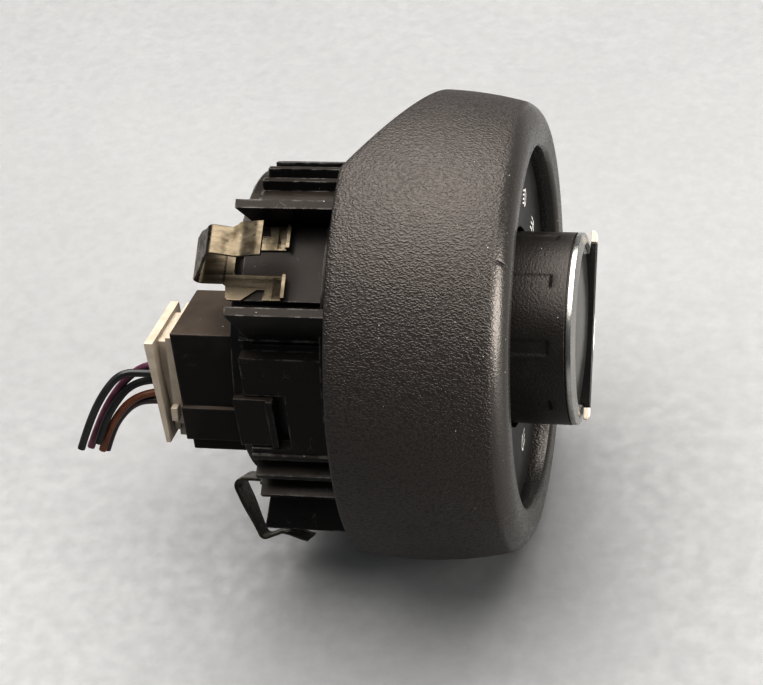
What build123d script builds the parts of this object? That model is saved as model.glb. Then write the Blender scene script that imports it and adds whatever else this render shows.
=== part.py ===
"""Rotary light switch of a car dashboard, in its grained trim bezel.

Row frame, in millimetres: the origin is the centre of the bezel's rear edge on the knob's
axis, +X runs along that axis towards the driver, and +Z is up as the switch lies on a bench.
An angle round the axis starts at -Y and grows towards +Z.
"""
from build123d import *
from math import cos, pi, radians, sin, tan
import os

os.makedirs("parts", exist_ok=True)

# ---- fits ----
slip = 0.05            # radial clearance of a shaft that turns or slides
gap = 0.3              # free space between pieces that move past each other
hair = 0.1             # free space between pieces that only must not touch

# ---- bezel ----
bezel_depth = 31.0     # rear edge to the front of the nose
bezel_rear_r = 42.8
bezel_belly_r = 43.7
bezel_nose_r = 41.7    # outer radius where the nose begins
bezel_wall = 2.2
opening_r = 33.4
plate_front = 27.2     # front face of the recessed plate
cut_slope = 0.79       # the rear edge is cut away at the top, this many mm along X per mm out
cut_start = 27.0       # height where the cut meets the rear edge plane
cut_angle = 131.5

# ---- face plate ----
plate_t = 2.0
plate_r = 34.4
icon_r = 24.5
icon_angles = (109, 139, 169, 199, 284)

# ---- switch housing ----
flange_t = 2.5
drum_r = 32.2
drum_wall = 2.0
drum_rear = -3.0
body_r = 28.5
body_wall = 1.9
body_rear = -18.0
cover_t = 2.0
cover_rear = body_rear - cover_t
bulkhead_x = 8.0
bulkhead_t = 2.0
latch_angle = 2.5
latch_w = 11.0
latch_front = -12.6

# ---- knob ----
knob_r = 17.75
knob_wall = 1.85
knob_front = 38.1      # shoulder that the bright ring sits on
skirt_rear = 16.0
groove_count = 9
groove_w = 2.6
groove_deep = 0.35
groove_front = 35.0
groove_angle = 30.2
ring_band = 1.0
ring_h = 1.6
ring_inner_r = 15.8
face_crown = 1.2
bar_angle = 139.0
bar_t = 1.3
bar_crest = 41.25
bar_tip_t = 1.25
bar_long_r = 18.3
bar_short_r = 16.7
tip_len = 2.2
shaft_w = 8.0
pull_travel = 5.0

# ---- rotor ----
hub_r = 9.0
hub_rear = -6.0
hub_front = 21.5
tube_wall = 2.2
detent_t = 3.5
detent_pitch = 30.0
plunger_r = 1.5
plunger_wall = 1.3     # left between the hub's tube and the plunger's bore
notch_land = 3.0       # drum outside the middle of the notches
plunger_ring_r = hub_r + tube_wall + plunger_wall + plunger_r
detent_r = plunger_ring_r + notch_land

# ---- circuit board ----
board_front = -8.0
board_t = 1.6
board_r = 25.8
board_hole_r = 7.5
ledge_angles = (80, 240, 330)
led_h = 1.0
guide_r = 1.6

# ---- retaining clips ----
clip_angles = {"near": 61.0, "low": -54.0, "far": 184.0}
channel_angles = (58.3, -54.0, 184.0)   # the channels between the fins that hold the clips
strip_t = 0.5
clip_r = 30.0          # underside of the clip's base
clip_w = 14.0
clip_leg_w = 4.6
clip_base_front = -9.8
bend_x = -24.7
bend_in_r = 1.05
tongue_slope = 64.0
tongue_w = 8.0
rise_w = 6.6
tail_w = 5.3
tongue_peak = 42.5
channel_w = 18.0
fin_r = 38.0
fin_rear = -18.3
fin_front = 1.0
fin_root_t = 3.2
fin_tip_t = 1.6

# ---- connector ----
box_roll = 15.0        # the connector is turned this far round the axis
box_near = 26.3
box_far = 8.0
box_top = 9.9
box_bottom = -14.8
box_step = -11.2       # below this the near side stands back by step_in
step_in = 2.2
box_depth = 11.5       # from the rear cover to the rim, at its top
box_rear = cover_rear - box_depth
rim_lean = 1.5         # the rim's foot stands this far ahead of its top
box_wall = 1.6
flange_reach = 5.1     # the plug's flange stands this far behind the rim
flange_rear = box_rear - flange_reach    # at the top; the flange leans
flange_lean = 2.0
flange_plate_t = 1.6
plug_body_rear = box_rear - 1.5
plug_nose = cover_rear - 3.0
plug_recess = 5.0
plug_travel = 14.0
pin_w = 0.5
pin_pitch = 2.0
pin_rows = (20.0, 13.4)
pin_count = 6
pin_tip = plug_nose - 1.7
wire_r = 0.72
wire_start = plug_nose - 2.0
bore_r = 0.85

# Each wire's path as (along the axis, towards the near side, up) in the connector's turned frame.
wire_paths = {
    "wire_black_outer": [(wire_start, 20, -1.45), (-31.8, 20, -1.45), (-38.8, 20.6, -1.3),
                         (-43.4, 21.4, -0.9), (-47.0, 22.4, -4.8), (-50.2, 23.1, -10.6),
                         (-52.4, 23.5, -16.2)],
    "wire_mauve": [(wire_start, 20, 0.55), (-31.6, 19.9, 0.55), (-38.3, 19.15, -0.1),
                   (-42.4, 18.9, -2.4), (-46.6, 19.4, -7.2), (-49.6, 20.0, -12.6),
                   (-51.7, 20.4, -17.6)],
    "wire_black_inner": [(wire_start, 20, -3.45), (-31.3, 20, -3.45), (-37.7, 19.3, -3.0),
                         (-42.8, 19.6, -4.5), (-46.2, 20.8, -8.6), (-48.1, 21.5, -12.1),
                         (-49.5, 21.9, -15.8)],
    "wire_brown": [(wire_start, 20, -5.45), (-31.3, 20, -5.45), (-37.7, 20, -5.3),
                   (-42.6, 20.1, -7.2), (-46.0, 20.2, -11.1), (-48.2, 20.3, -14.9),
                   (-49.5, 20.3, -18.2)],
    "wire_dark": [(wire_start, 20, -7.45), (-31.3, 20, -7.45), (-37.7, 19.9, -7.1),
                  (-42.2, 18.9, -8.3), (-45.9, 18.4, -12.0), (-48.1, 18.3, -15.8),
                  (-49.4, 18.3, -19.2)],
}


def out(phi):
    """Unit vector that points away from the axis at angle phi."""
    return Vector(0, -cos(radians(phi)), sin(radians(phi)))


def behind(x):
    """Plane across the axis at x that faces the rear; its polar angle is the row's."""
    return Plane(origin=(x, 0, 0), x_dir=(0, -1, 0), z_dir=(-1, 0, 0))


def standing(phi, x=0.0, r=0.0):
    """Plane that faces away from the axis at angle phi; its local x runs along +X."""
    return Plane(origin=out(phi) * r + Vector(x, 0, 0), x_dir=(1, 0, 0), z_dir=out(phi))


def lengthwise(phi):
    """Plane through the axis: local x runs along +X and local y outwards at angle phi."""
    return Plane(origin=(0, 0, 0), x_dir=(1, 0, 0), z_dir=Vector(1, 0, 0).cross(out(phi)))


def ring(x_front, length, r_out, r_in=0.0, mode=Mode.ADD):
    """Disc or ring across the axis, from x_front towards the rear."""
    with BuildSketch(behind(x_front)) as disc:
        Circle(r_out)
        if r_in:
            Circle(r_in, mode=Mode.SUBTRACT)
    extrude(disc.sketch, amount=length, mode=mode)


def rods(x_front, length, radius, places, mode=Mode.ADD):
    """Round rods along the axis; places holds (distance from the axis, angle) pairs."""
    with BuildSketch(behind(x_front)) as ends:
        with Locations(*[(d * cos(radians(a)), d * sin(radians(a))) for d, a in places]):
            Circle(radius)
    extrude(ends.sketch, amount=length, mode=mode)


def block(phi, x0, x1, r0, r1, width, mode=Mode.ADD):
    """Box at angle phi from x0 to x1 along the axis and r0 to r1 away from it."""
    with BuildSketch(standing(phi, (x0 + x1) / 2, r0)) as base:
        Rectangle(x1 - x0, width)
    extrude(base.sketch, amount=r1 - r0, mode=mode)


def save(part, name):
    part.label = name
    export_step(part, f"parts/{name}.step")


# ======== bezel ========
seat_r = plate_r + 0.2
sleeve_r = seat_r + 2.0
cavity_r = bezel_rear_r - bezel_wall
with BuildPart() as bezel:
    with BuildSketch(Plane.XY):
        with BuildLine():
            skin = ThreePointArc((0, bezel_rear_r), (12.5, bezel_belly_r), (27.5, bezel_nose_r))
            nose = ThreePointArc(skin @ 1, (30.0, 40.1), (bezel_depth, 37.3))
            brow = Line(nose @ 1, (bezel_depth - 0.2, opening_r + 1.3))
            lip = ThreePointArc(brow @ 1, (bezel_depth - 0.5, opening_r + 0.35),
                                (bezel_depth - 1.1, opening_r))
            Polyline(lip @ 1, (plate_front, opening_r), (plate_front, seat_r), (5, seat_r),
                     (5, sleeve_r), (26, sleeve_r), (28.0, sleeve_r + 2.2), (24.5, cavity_r - 1.2),
                     (0, cavity_r), skin @ 0)
        make_face()
    revolve(axis=Axis.X)
    with BuildSketch(lengthwise(cut_angle)):
        with BuildLine():
            Polyline((-2, cut_start - 2 / cut_slope), (cut_slope * (50 - cut_start), 50), (-2, 50),
                     close=True)
        make_face()
    extrude(amount=60, both=True, mode=Mode.SUBTRACT)
save(bezel.part, "bezel_ring")

plate_rear = plate_front - plate_t
collar_r = knob_r + 0.85
with BuildPart() as face_plate:
    ring(plate_front, plate_t, plate_r, collar_r)
save(face_plate.part, "face_plate")

# ======== switch housing ========
flange_rear_x = plate_rear - flange_t
body_in_r = body_r - body_wall
tube_r = hub_r + slip
pocket = (plunger_ring_r, 229.0)
screw_places = [(body_in_r - 2.2, a) for a in (110, 210, 326)]
rails = [(99, 30.4), (108, 30.6), (119, 30.2), (128, 30.0), (146, 30.0), (36, 30.4), (-12, 31.0),
         (-20, 32.6), (-29, 34.4), (222, 30.6), (238, 30.6), (254, 30.6), (270, 30.6)]
guide_places = [(icon_r, a) for a in icon_angles]
guide_hole_r = guide_r + hair

with BuildPart() as housing:
    ring(plate_rear, flange_t, plate_r, collar_r)
    ring(flange_rear_x, flange_rear_x - drum_rear, drum_r, drum_r - drum_wall)
    ring(drum_rear + 2, 2, drum_r, body_in_r)
    ring(drum_rear, drum_rear - body_rear, body_r, body_in_r)
    ring(bulkhead_x + bulkhead_t, bulkhead_t, drum_r - drum_wall, tube_r)
    ring(hub_front - 1.5, hub_front - 1.5 - (hub_rear + detent_t + gap), tube_r + tube_wall, tube_r)
    for angle in ledge_angles:
        block(angle, board_front, board_front + 1.5, board_r - 1.2, body_in_r + 0.5, 4)
    for angle, height in rails:
        block(angle, fin_rear + 0.3, drum_rear + 2, body_r - 1, height, 1.4)
    for angle in clip_angles.values():
        block(angle, body_rear, 1.0, body_in_r - 0.6, clip_r, clip_w)
    for angle in channel_angles:
        for side in (-1, 1):
            with BuildSketch(standing(angle, fin_front, body_r - 3)):
                with Locations((0, side * (channel_w / 2 + fin_root_t / 2))):
                    Rectangle(fin_front - fin_rear - 2.4, fin_root_t, align=(Align.MAX, Align.CENTER))
            with BuildSketch(standing(angle, fin_front, fin_r)):
                with Locations((0, side * (channel_w / 2 + fin_tip_t / 2))):
                    Rectangle(fin_front - fin_rear, fin_tip_t, align=(Align.MAX, Align.CENTER))
            loft()
    block(8, body_rear, drum_rear, body_in_r - 0.4, 28.9, 22)
    block(latch_angle, body_rear, latch_front + 2, 27.2, 33, latch_w + 0.6, mode=Mode.SUBTRACT)
    rods(-10.5, -10.5 - body_rear, 2.6, screw_places)
    rods(bulkhead_x, bulkhead_x + 1.6, 2.6, [pocket])
    rods(bulkhead_x, bulkhead_x + 1.6, plunger_r + slip, [pocket], mode=Mode.SUBTRACT)
    rods(-10, -10 - body_rear, 1.25, screw_places, mode=Mode.SUBTRACT)
    rods(plate_rear, plate_rear - hub_rear, guide_hole_r, guide_places, mode=Mode.SUBTRACT)
save(housing.part, "switch_housing")

# ======== rear cover and its connector ========
def turned(x):
    """Plane across the axis at x in the connector's frame: local x near side, local y up."""
    return Plane(origin=(x, 0, 0), x_dir=out(box_roll), z_dir=(-1, 0, 0))


def window(x_front, length, inset, mode=Mode.ADD):
    """The connector's stepped outline, shrunk by inset on each side, from x_front to the rear."""
    far, near, foot = box_far + inset, box_near - inset, box_near - step_in - inset
    low, step, high = box_bottom + inset, box_step + inset, box_top - inset
    with BuildSketch(turned(x_front)) as outline:
        Polygon((far, low), (foot, low), (foot, step), (near, step), (near, high), (far, high),
                align=None)
    extrude(outline.sketch, amount=length, mode=mode)


def patch(x_front, length, near, up, mode=Mode.ADD):
    """Box in the connector's frame; near and up are (low, high) pairs."""
    with BuildSketch(turned(x_front)) as outline:
        with Locations((sum(near) / 2, sum(up) / 2)):
            Rectangle(near[1] - near[0], up[1] - up[0])
    extrude(outline.sketch, amount=length, mode=mode)


def leaning(x_front, x_rear, near, up):
    """Plug slab whose faces lean with the flange, x_front and x_rear being at its top."""
    foot = flange_lean * (up[1] - up[0]) / 20
    with BuildSketch(standing(box_roll, 0, near[0])) as side:
        Polygon((x_front, up[1]), (x_rear, up[1]), (x_rear + foot, up[0]),
                (max(x_front, x_rear + foot + 0.8), up[0]), align=None)
    extrude(side.sketch, amount=near[1] - near[0])


with BuildPart() as rear_cover:
    ring(body_rear, cover_t, body_r)
    window(body_rear, cover_t, box_wall + 1.0, mode=Mode.SUBTRACT)
    rods(body_rear, cover_t, 1.35, screw_places, mode=Mode.SUBTRACT)
    block(latch_angle, cover_rear, body_rear, 27.3, 30, latch_w, mode=Mode.SUBTRACT)
save(rear_cover.part, "rear_cover")

with BuildPart() as shroud:
    window(cover_rear, cover_rear - box_rear, 0)
    patch(cover_rear, cover_rear - box_rear, (box_near, box_near + 0.8), (box_step, -4.6))
    window(cover_rear, cover_rear - box_rear, box_wall, mode=Mode.SUBTRACT)
    with BuildSketch(standing(box_roll)):
        Polygon((box_rear, box_top), (box_rear + rim_lean, box_bottom - 1),
                (box_rear - 1, box_bottom - 1), (box_rear - 1, box_top), align=None)
    extrude(amount=box_near + 2, mode=Mode.SUBTRACT)
save(shroud.part, "connector_shroud")

with BuildPart() as screws:
    rods(body_rear + 6, 6 + cover_t, 1.2, screw_places)
    rods(cover_rear, 1.4, 2.3, screw_places)
save(screws.part, "cover_screws")

with BuildPart() as latch:
    block(latch_angle, cover_rear, latch_front, 27.3, 29.3, latch_w)
    block(latch_angle, latch_front - 1.4, latch_front, 29.3, 29.9, latch_w)
save(latch.part, "cover_latch")

# ======== circuit board ========
board_rear = board_front - board_t
with BuildPart() as board:
    ring(board_front, board_t, board_r, board_hole_r)
save(board.part, "circuit_board")

with BuildPart() as leds:
    rods(board_front + led_h, led_h, 1.1, guide_places)
save(leds.part, "indicator_leds")

with BuildPart() as guides:
    rods(plate_rear - hair, plate_rear - board_front - led_h - 2 * hair, guide_r, guide_places)
save(guides.part, "light_guides")

pin_ups = [(box_top + box_bottom) / 2 + (i - (pin_count - 1) / 2) * pin_pitch
           for i in range(pin_count)]
with BuildPart() as pins:
    for near in pin_rows:
        for up in pin_ups:
            patch(board_rear, board_rear - pin_tip, (near - pin_w / 2, near + pin_w / 2),
                  (up - pin_w / 2, up + pin_w / 2))
save(pins.part, "terminal_pins")

# ======== rotor ========
bore_w = shaft_w + 2 * slip
drum_front = hub_rear + detent_t
tube_front = hub_front - 1.5
circlip_front = tube_front + hair + 0.8
with BuildPart() as hub:
    ring(hub_front, hub_front - hub_rear, hub_r)
    ring(circlip_front + slip, 0.8 + 2 * slip, hub_r + 1, hub_r - 0.7, mode=Mode.SUBTRACT)
    with BuildSketch(behind(hub_front)):
        Rectangle(bore_w, bore_w)
    extrude(amount=hub_front - hub_rear, mode=Mode.SUBTRACT)
save(hub.part, "rotor_hub")

with BuildPart() as circlip:
    ring(circlip_front, 0.8, hub_r + 1.5, hub_r - 0.7)
    block(0, circlip_front - 1, circlip_front + 1, 0, hub_r + 3, 5, mode=Mode.SUBTRACT)
save(circlip.part, "rotor_circlip")

with BuildPart() as drum:
    ring(drum_front, detent_t, detent_r, hub_r)
    for step in (-1, 0, 1, 2):
        notch = out(pocket[1] - step * detent_pitch) * plunger_ring_r
        with Locations((drum_front + 0.9, notch.Y, notch.Z)):
            Sphere(plunger_r, mode=Mode.SUBTRACT)
save(drum.part, "detent_drum")

with BuildPart() as wipers:
    ring(hub_rear, 0.3, 16.0, 12.0)
    for angle in (20, 140, 260):
        with BuildSketch(standing(angle, 0, 12.8)) as finger:
            with BuildLine():
                Polyline((hub_rear, 0), (board_front + 0.2, 3.4), (board_front + hair, 4.4),
                         (board_front + 0.4, 4.4), (hub_rear, 1.0), close=True)
            make_face()
        extrude(finger.sketch, amount=2.0)
save(wipers.part, "contact_wipers")

plunger_tip = drum_front + hair
with BuildPart() as plunger:
    rods(3.0, 3.0 - plunger_tip, plunger_r, [pocket])
    fillet(plunger.faces().sort_by(Axis.X)[0].edges(), plunger_r * 0.8)
save(plunger.part, "detent_plunger")

with BuildPart() as spring:
    rods(bulkhead_x - hair, bulkhead_x - 3.0 - 2 * hair, plunger_r - hair, [pocket])
    rods(bulkhead_x - hair, bulkhead_x - 3.0 - 2 * hair, plunger_r - 0.6, [pocket],
         mode=Mode.SUBTRACT)
save(spring.part, "detent_spring")

# ======== knob ========
wall_rear = knob_front - 2.0
socket_front = wall_rear - 2.0
with BuildPart() as shell:
    ring(knob_front, knob_front - skirt_rear, knob_r, knob_r - knob_wall)
    ring(knob_front, 2.0, knob_r - knob_wall)
    ring(wall_rear, 12.0, 7.5)
    with BuildSketch(behind(socket_front)):
        Rectangle(shaft_w, shaft_w)
    extrude(amount=socket_front - wall_rear + 12.0, mode=Mode.SUBTRACT)
    ring(knob_front - 0.25, 0.35, knob_r + 1, knob_r - 0.4, mode=Mode.SUBTRACT)
    for i in range(groove_count):
        block(groove_angle + i * 360 / groove_count, skirt_rear + 4, groove_front,
              knob_r - groove_deep, knob_r + 1, groove_w, mode=Mode.SUBTRACT)
save(shell.part, "knob_shell")

with BuildPart() as bright_ring:
    with BuildSketch(Plane.XY):
        with BuildLine():
            Polyline((knob_front, ring_inner_r), (knob_front, knob_r),
                     (knob_front + ring_band, knob_r), (knob_front + ring_h, ring_inner_r + 0.3),
                     (knob_front + ring_h, ring_inner_r), close=True)
        make_face()
    revolve(axis=Axis.X)
save(bright_ring.part, "knob_ring")

bar_root = 14.0
bar_rear = knob_front + ring_h + gap
face_r = ring_inner_r - hair


def bar_outline(points, mode=Mode.ADD):
    """Slab across the knob's face, bar_t thick, from its outline along the bar."""
    with BuildSketch(lengthwise(bar_angle)) as side:
        Polygon(*points, align=None)
    extrude(side.sketch, amount=bar_t / 2, both=True, mode=mode)


with BuildPart() as dial:
    with BuildSketch(Plane.XY):
        with BuildLine():
            crown = ThreePointArc((knob_front + 0.9, face_r),
                                  (knob_front + 0.9 + face_crown * 0.75, face_r / 2),
                                  (knob_front + 0.9 + face_crown, 0))
            Polyline(crown @ 1, (knob_front, 0), (knob_front, face_r), crown @ 0)
        make_face()
    revolve(axis=Axis.X)
    bar_outline([(knob_front, -bar_root), (bar_crest, -bar_root), (bar_crest, bar_root),
                 (knob_front, bar_root)], mode=Mode.SUBTRACT)
save(dial.part, "knob_face")

long_end = bar_long_r - tip_len
short_end = bar_short_r - tip_len
with BuildPart() as bar:
    bar_outline([(knob_front, -bar_root), (bar_rear, -bar_root), (bar_rear, -short_end),
                 (bar_crest, -short_end), (bar_crest, long_end), (bar_rear, long_end),
                 (bar_rear, bar_root), (knob_front, bar_root)])
save(bar.part, "grip_bar")

with BuildPart() as tips:
    for near_end, far_end in ((long_end, bar_long_r), (-short_end, -bar_short_r)):
        bevel = (far_end - near_end) * 0.35
        bar_outline([(bar_rear, near_end), (bar_crest, near_end), (bar_crest, far_end - bevel),
                     (bar_crest - 0.45, far_end), (bar_rear, far_end)])
save(tips.part, "grip_tips")

shaft_rear = hub_rear - pull_travel - 1.6
with BuildPart() as shaft:
    with BuildSketch(behind(socket_front)):
        Rectangle(shaft_w, shaft_w)
    extrude(amount=socket_front - shaft_rear)
    chamfer(shaft.faces().sort_by(Axis.X)[0].edges(), 0.6)
save(shaft.part, "knob_shaft")

with BuildPart() as stop_clip:
    with BuildSketch(behind(hub_rear - pull_travel - hair)):
        Circle(6.6)
        Rectangle(shaft_w, shaft_w, mode=Mode.SUBTRACT)
    extrude(amount=0.8)
save(stop_clip.part, "shaft_clip")

# ======== retaining clips ========
bend_r = bend_in_r + strip_t / 2
bend_out = clip_r + strip_t / 2 + bend_r
lift = tongue_slope + 90
tongue_foot = Vector(bend_x + bend_r * cos(radians(lift)), bend_out + bend_r * sin(radians(lift)))
rise = (tongue_peak - strip_t - tongue_foot.Y) / sin(radians(tongue_slope))
peak = tongue_foot + Vector(cos(radians(tongue_slope)), sin(radians(tongue_slope))) * rise
knee = peak + Vector(1.0, -0.42)
curl = CenterArc((bend_x, bend_out), bend_r, 270, lift - 270 + 5)
rising = FilletPolyline(tongue_foot, peak, knee, radius=0.5)
tail = FilletPolyline(knee, peak + Vector(4.6, -1.9), peak + Vector(9.2, -0.6), radius=3)


def strip(angle, line, width):
    """Sheet-steel strip of the clip: its centre line thickened, then made width wide."""
    with BuildSketch(lengthwise(angle)) as side:
        trace(line, line_width=strip_t)
    extrude(side.sketch, amount=width / 2, both=True)


for side_name, angle in clip_angles.items():
    with BuildPart() as base:
        block(angle, bend_x + 3.4, clip_base_front, clip_r, clip_r + strip_t, clip_w)
        block(angle, bend_x, bend_x + 3.4, clip_r, clip_r + strip_t, tongue_w)
        block(angle, clip_base_front - 5.2, clip_base_front + 1, clip_r - 1, clip_r + 1,
              clip_w - 2 * clip_leg_w, mode=Mode.SUBTRACT)
        strip(angle, curl, tongue_w)
        lip = standing(angle, clip_base_front - strip_t / 2, clip_r + strip_t)
        with BuildSketch(lip) as lips:
            with GridLocations(0, clip_w - clip_leg_w, 1, 2):
                Rectangle(strip_t, clip_leg_w - 0.8)
        extrude(lips.sketch, amount=1.5)
    save(base.part, f"clip_base_{side_name}")

    with BuildPart() as tongue:
        strip(angle, rising, rise_w)
        strip(angle, tail, tail_w)
    save(tongue.part, f"clip_tongue_{side_name}")

# ======== plug and wires ========
with BuildPart() as plug:
    window(plug_nose, plug_nose - plug_body_rear, box_wall + 0.2)
    leaning(plug_body_rear + 0.5, flange_rear + 1.4, (box_far + 3.4, box_near - 3.2), (-11.4, 6.7))
    leaning(flange_rear + flange_plate_t, flange_rear, (box_far + 0.6, box_near - 0.3), (-12.6, 7.6))
    patch(flange_rear + plug_recess, plug_recess, (11.2, 22.0), (-9.4, 4.6), mode=Mode.SUBTRACT)
    with BuildSketch(turned(plug_nose)):
        with Locations(*[(near, up) for near in pin_rows for up in pin_ups]):
            Circle(bore_r)
    extrude(amount=plug_nose - flange_rear, mode=Mode.SUBTRACT)
save(plug.part, "plug_housing")

with BuildPart() as lock:
    patch(box_rear - 0.2, box_rear - 0.2 - plug_body_rear, (box_near - box_wall - 0.2, box_near - 0.1),
          (-8.0, -5.3))
save(lock.part, "plug_lock")

with BuildPart() as terminals:
    for up in pin_ups[:len(wire_paths)]:
        with BuildSketch(turned(plug_nose - 0.4)) as barrel:
            with Locations((pin_rows[0], up)):
                Circle(bore_r)
                Rectangle(pin_w + 4 * slip, pin_w + 4 * slip, mode=Mode.SUBTRACT)
        extrude(barrel.sketch, amount=plug_nose - 0.4 - wire_start)
save(terminals.part, "plug_terminals")

near_way, up_way = out(box_roll), out(box_roll + 90)
for name, path in wire_paths.items():
    points = [Vector(x, 0, 0) + near_way * near + up_way * up for x, near, up in path]
    runs = [(b - a).length for a, b in zip(points, points[1:])]
    turns = [(b - a).get_angle(c - b) for a, b, c in zip(points, points[1:], points[2:])]
    radii = [0.45 * min(pair) / tan(radians(turn / 2)) for pair, turn in zip(zip(runs, runs[1:]), turns)]
    print(name, "radii", [round(r, 1) for r in radii])
    with BuildPart() as wire:
        with BuildLine() as route:
            FilletPolyline(*points, radius=radii)
        way = route.wire()
        with BuildSketch(Plane(origin=points[0], z_dir=way % 0)):
            Circle(wire_r)
        sweep(path=way)
    print(name, "length", round(way.length, 1), "volume over section times length",
          round(wire.part.volume / (pi * wire_r**2 * way.length), 4))
    save(wire.part, name)
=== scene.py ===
import math
import bmesh
import bpy
import numpy as np
from mathutils import Matrix, Vector


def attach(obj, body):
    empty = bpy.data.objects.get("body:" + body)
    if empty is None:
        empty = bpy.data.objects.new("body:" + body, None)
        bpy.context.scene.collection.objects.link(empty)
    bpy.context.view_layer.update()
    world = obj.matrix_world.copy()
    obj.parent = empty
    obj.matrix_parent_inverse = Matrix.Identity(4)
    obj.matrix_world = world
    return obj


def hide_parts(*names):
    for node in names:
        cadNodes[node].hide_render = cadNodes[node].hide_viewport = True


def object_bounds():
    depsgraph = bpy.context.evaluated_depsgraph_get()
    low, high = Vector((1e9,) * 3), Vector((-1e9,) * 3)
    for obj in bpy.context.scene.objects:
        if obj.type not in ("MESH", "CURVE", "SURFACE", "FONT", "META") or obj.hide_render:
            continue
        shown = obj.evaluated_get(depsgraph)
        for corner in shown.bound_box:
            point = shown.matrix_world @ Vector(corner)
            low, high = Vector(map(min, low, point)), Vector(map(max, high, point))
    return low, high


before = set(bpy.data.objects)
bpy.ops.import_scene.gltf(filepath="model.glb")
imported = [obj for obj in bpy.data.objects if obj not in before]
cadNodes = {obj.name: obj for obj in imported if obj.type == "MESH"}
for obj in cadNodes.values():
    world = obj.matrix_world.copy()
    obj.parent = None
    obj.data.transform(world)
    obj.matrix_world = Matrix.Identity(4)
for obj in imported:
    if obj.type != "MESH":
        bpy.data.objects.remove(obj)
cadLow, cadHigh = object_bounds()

mm = 0.001
scene = bpy.context.scene
scene.view_settings.view_transform = "Standard"
scene.view_settings.gamma = 0.72    # a firmer print: deep blacks, the floor stays pale


# degrees round, above and about the line of sight, then metres away, sideways and up
cameraSet = {"turn": 15.779, "tilt": 41.5, "lean": -8.761,
             "away": 0.399022, "side": 0.00128, "rise": -0.003726,
             "lens": 100.15, "sensor": 36, "nearest": 0.01, "farthest": 20}


# Camera that looks at the switch from its near side, above.
def aimCamera(s):
    turn, tilt, lean = (math.radians(s[k]) for k in ("turn", "tilt", "lean"))
    back = Vector((math.sin(turn) * math.cos(tilt), -math.cos(turn) * math.cos(tilt),
                   math.sin(tilt)))
    level = Vector((math.cos(turn), math.sin(turn), 0))
    upward = back.cross(level)
    right = level * math.cos(lean) + upward * math.sin(lean)
    top = upward * math.cos(lean) - level * math.sin(lean)
    data = bpy.data.cameras.new("mainCamera")
    data.sensor_width, data.lens = s["sensor"], s["lens"]
    data.clip_start, data.clip_end = s["nearest"], s["farthest"]
    camera = bpy.data.objects.new("mainCamera", data)
    spot = right * s["side"] + top * s["rise"] + back * s["away"]
    camera.matrix_world = Matrix(((right.x, top.x, back.x, spot.x),
                                  (right.y, top.y, back.y, spot.y),
                                  (right.z, top.z, back.z, spot.z), (0, 0, 0, 1)))
    scene.collection.objects.link(camera)
    scene.camera = camera


aimCamera(cameraSet)
print("camera set")


# Unit vectors away from the axis; 0 degrees points to the near side and grows upwards.
def outward(angle):
    a = np.radians(np.asarray(angle, float))
    return np.stack([np.zeros_like(a), -np.cos(a), np.sin(a)], -1)


# Mesh object from points in millimetres; turned right side out by its signed volume.
def addPiece(name, points, faces, finish, body, replaced=(), sharp=35):
    mesh = bpy.data.meshes.new(name)
    mesh.from_pydata((np.asarray(points, float) * mm).tolist(), [], [list(map(int, f)) for f in faces])
    mesh.update()
    return dressPiece(name, mesh, finish, body, replaced, sharp)


def dressPiece(name, mesh, finish, body, replaced=(), sharp=35):
    shape = bmesh.new()
    shape.from_mesh(mesh)
    if shape.calc_volume(signed=True) < 0:
        bmesh.ops.reverse_faces(shape, faces=shape.faces)
    shape.to_mesh(mesh)
    shape.free()
    mesh.polygons.foreach_set("use_smooth", np.ones(len(mesh.polygons), bool))
    mesh.set_sharp_from_angle(angle=math.radians(sharp))
    mesh.materials.clear()
    mesh.materials.append(finish)
    piece = bpy.data.objects.new(name, mesh)
    scene.collection.objects.link(piece)
    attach(piece, body)
    if replaced:
        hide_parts(*replaced)
    return piece


# Quads between neighbouring points of a grid that is stored row by row.
def gridFaces(rows, cols, wrapRows=False, wrapCols=False):
    i = np.arange(rows if wrapRows else rows - 1)[:, None]
    j = np.arange(cols if wrapCols else cols - 1)[None, :]
    i2, j2 = (i + 1) % rows, (j + 1) % cols
    return np.stack([i * cols + j, i * cols + j2, i2 * cols + j2, i2 * cols + j], -1).reshape(-1, 4)


# Points on the circle through three points, count of them, both ends included.
def arcThrough(start, middle, end, count):
    a, b, c = (np.asarray(p, float) for p in (start, middle, end))
    m = 2 * np.array([b - a, c - a])
    centre = np.linalg.solve(m, [b @ b - a @ a, c @ c - a @ a])
    angle = [math.atan2(*(p - centre)[::-1]) for p in (a, b, c)]
    sweep = (angle[2] - angle[0]) % (2 * math.pi)
    if (angle[1] - angle[0]) % (2 * math.pi) > sweep:
        sweep -= 2 * math.pi
    t = angle[0] + np.linspace(0, 1, count) * sweep
    return centre + np.linalg.norm(a - centre) * np.stack([np.cos(t), np.sin(t)], -1)


# Closed section of (along, away) points, rows of it, carried round the axis through the angles.
def lathe(section, angles):
    section = np.asarray(section, float)
    if section.ndim == 2:
        section = np.repeat(section[:, None], len(angles), 1)
    return section[..., :1] * [1, 0, 0] + section[..., 1:] * outward(angles)[None]


softenSet = {"merge": 2e-6, "flat": 0.5}    # metres between doubles, degrees between flat faces


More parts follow.
